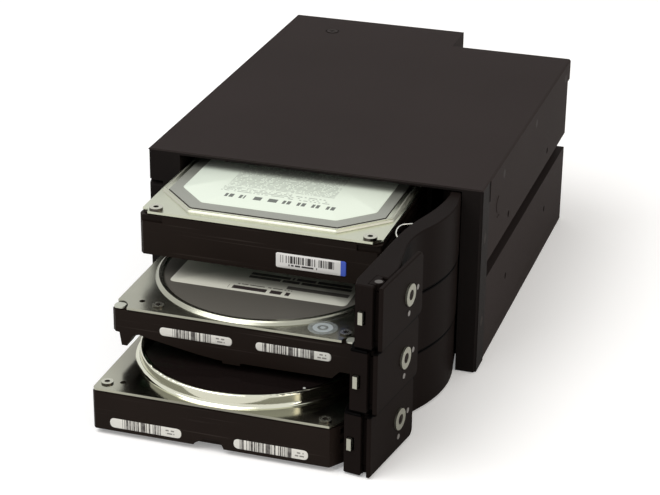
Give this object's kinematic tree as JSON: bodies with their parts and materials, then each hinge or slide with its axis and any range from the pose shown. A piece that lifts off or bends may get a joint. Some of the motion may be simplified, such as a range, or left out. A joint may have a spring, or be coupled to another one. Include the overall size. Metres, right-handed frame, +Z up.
{
  "type": "hot swap drive cage",
  "caption": "Metal cage that fits two stacked drive bays, with hinged handle doors on the right, slide-in drives and a rear fan.",
  "frame": {"origin": "on the underside of the case, midway across its width and midway along the case without its fan bay", "axes": "+X right seen from the front, +Y to the rear, +Z up"},
  "size_m": [0.146, 0.2962, 0.0828],
  "materials": {
    "case_paint": "satin fine texture powder coat",
    "bezel_plastic": "satin",
    "door_plastic": "satin",
    "handle_plastic": "satin",
    "guide_plastic": "matte",
    "bright_steel": "bright",
    "dark_steel": "black oxide",
    "drive_casting": "black coated",
    "drive_cover": "satin",
    "circuit_board": "satin",
    "connector_plastic": "matte",
    "fan_plastic": "matte",
    "lamp_plastic": "clear",
    "label_paper": "printed film"
  },
  "bodies": {
    "cage": {"backplane": "circuit_board", "bay_connectors": "connector_plastic", "bezel_screws": "dark_steel", "bottom_plate": "case_paint", "cover_screws": "dark_steel", "data_connectors": "connector_plastic", "fan_frame": "fan_plastic", "fan_housing": "case_paint", "fan_screws": "bright_steel", "finger_guard": "bright_steel", "front_bezel": "bezel_plastic", "hinge_bracket": "dark_steel", "hinge_pin": "bright_steel", "left_guides": "guide_plastic", "left_side": "case_paint", "power_connectors": "connector_plastic", "rear_panel": "case_paint", "right_guides": "guide_plastic", "right_side": "case_paint", "top_cover": "case_paint"},
    "door_1": {"door_1_arm": "door_plastic", "door_1_handle_pin": "bright_steel"},
    "handle_1": {"door_1_handle": "handle_plastic", "door_1_light_pipes": "lamp_plastic", "door_1_lock_ring": "bright_steel"},
    "latch_1": {"door_1_latch": "bright_steel"},
    "lock_1": {"door_1_lock_core": "dark_steel"},
    "door_2": {"door_2_arm": "door_plastic", "door_2_handle_pin": "bright_steel"},
    "handle_2": {"door_2_handle": "handle_plastic", "door_2_light_pipes": "lamp_plastic", "door_2_lock_ring": "bright_steel"},
    "latch_2": {"door_2_latch": "bright_steel"},
    "lock_2": {"door_2_lock_core": "dark_steel"},
    "door_3": {"door_3_arm": "door_plastic", "door_3_handle_pin": "bright_steel"},
    "handle_3": {"door_3_handle": "handle_plastic", "door_3_light_pipes": "lamp_plastic", "door_3_lock_ring": "bright_steel"},
    "latch_3": {"door_3_latch": "bright_steel"},
    "lock_3": {"door_3_lock_core": "dark_steel"},
    "drive_1": {"drive_1_board": "circuit_board", "drive_1_casting": "drive_casting", "drive_1_connector": "connector_plastic", "drive_1_cover": "drive_cover", "drive_1_screws": "bright_steel"},
    "drive_2": {"drive_2_board": "circuit_board", "drive_2_casting": "drive_casting", "drive_2_connector": "connector_plastic", "drive_2_cover": "drive_cover", "drive_2_screws": "bright_steel"},
    "drive_3": {"drive_3_board": "circuit_board", "drive_3_casting": "drive_casting", "drive_3_connector": "connector_plastic", "drive_3_cover": "drive_cover", "drive_3_screws": "bright_steel"},
    "fan_rotor": {"fan_rotor": "fan_plastic"}
  },
  "joints": [
    {"name": "drive_1_slide", "type": "slide", "parent": "cage", "child": "drive_1", "axis": [0, 1, 0], "range_m": [0, 0.0606]},
    {"name": "door_1_hinge", "type": "hinge", "parent": "cage", "child": "door_1", "pos_m": [0.0555, -0.0695, 0.067], "axis": [0, 0, -1], "range_deg": [0, 83]},
    {"name": "handle_1_hinge", "type": "hinge", "parent": "door_1", "child": "handle_1", "pos_m": [0.05592, -0.17846, 0.067], "axis": [0, 0, -1], "range_deg": [0, 15]},
    {"name": "latch_1_slide", "type": "slide", "parent": "door_1", "child": "latch_1", "axis": [0.1219, 0.9925, 0], "range_m": [0, 0.0013]},
    {"name": "lock_1_turn", "type": "hinge", "parent": "handle_1", "child": "lock_1", "pos_m": [0.06169, -0.15862, 0.067], "axis": [0.9925, -0.1219, 0], "range_deg": [0, 90]},
    {"name": "drive_2_slide", "type": "slide", "parent": "cage", "child": "drive_2", "axis": [0, 1, 0], "range_m": [0, 0.0906]},
    {"name": "door_2_hinge", "type": "hinge", "parent": "cage", "child": "door_2", "pos_m": [0.0555, -0.0695, 0.04025], "axis": [0, 0, -1], "range_deg": [0, 82.2]},
    {"name": "handle_2_hinge", "type": "hinge", "parent": "door_2", "child": "handle_2", "pos_m": [0.0544, -0.17846, 0.04025], "axis": [0, 0, -1], "range_deg": [0, 15]},
    {"name": "latch_2_slide", "type": "slide", "parent": "door_2", "child": "latch_2", "axis": [0.1357, 0.9907, 0], "range_m": [0, 0.0013]},
    {"name": "lock_2_turn", "type": "hinge", "parent": "handle_2", "child": "lock_2", "pos_m": [0.06044, -0.1587, 0.04025], "axis": [0.9907, -0.1357, 0], "range_deg": [0, 90]},
    {"name": "drive_3_slide", "type": "slide", "parent": "cage", "child": "drive_3", "axis": [0, 1, 0], "range_m": [0, 0.112]},
    {"name": "door_3_hinge", "type": "hinge", "parent": "cage", "child": "door_3", "pos_m": [0.0555, -0.0695, 0.0135], "axis": [0, 0, -1], "range_deg": [0, 81.2]},
    {"name": "handle_3_hinge", "type": "hinge", "parent": "door_3", "child": "handle_3", "pos_m": [0.0525, -0.17842, 0.0135], "axis": [0, 0, -1], "range_deg": [0, 15]},
    {"name": "latch_3_slide", "type": "slide", "parent": "door_3", "child": "latch_3", "axis": [0.153, 0.9882, 0], "range_m": [0, 0.0013]},
    {"name": "lock_3_turn", "type": "hinge", "parent": "handle_3", "child": "lock_3", "pos_m": [0.05888, -0.15877, 0.0135], "axis": [0.9882, -0.153, 0], "range_deg": [0, 90]},
    {"name": "fan_spin", "type": "hinge", "parent": "cage", "child": "fan_rotor", "pos_m": [-0.027, 0.0984, 0.0413], "axis": [0, 1, 0], "continuous": true}
  ],
  "couplings": [
    {"joint": "door_1_hinge", "follows": "drive_1_slide", "rad_per_m": 12.672},
    {"joint": "latch_1_slide", "follows": "handle_1_hinge", "m_per_rad": 0.0049},
    {"joint": "door_2_hinge", "follows": "drive_2_slide", "rad_per_m": 3.2749},
    {"joint": "latch_2_slide", "follows": "handle_2_hinge", "m_per_rad": 0.0049},
    {"joint": "door_3_hinge", "follows": "drive_3_slide", "rad_per_m": 1.4025},
    {"joint": "latch_3_slide", "follows": "handle_3_hinge", "m_per_rad": 0.0049}
  ]
}
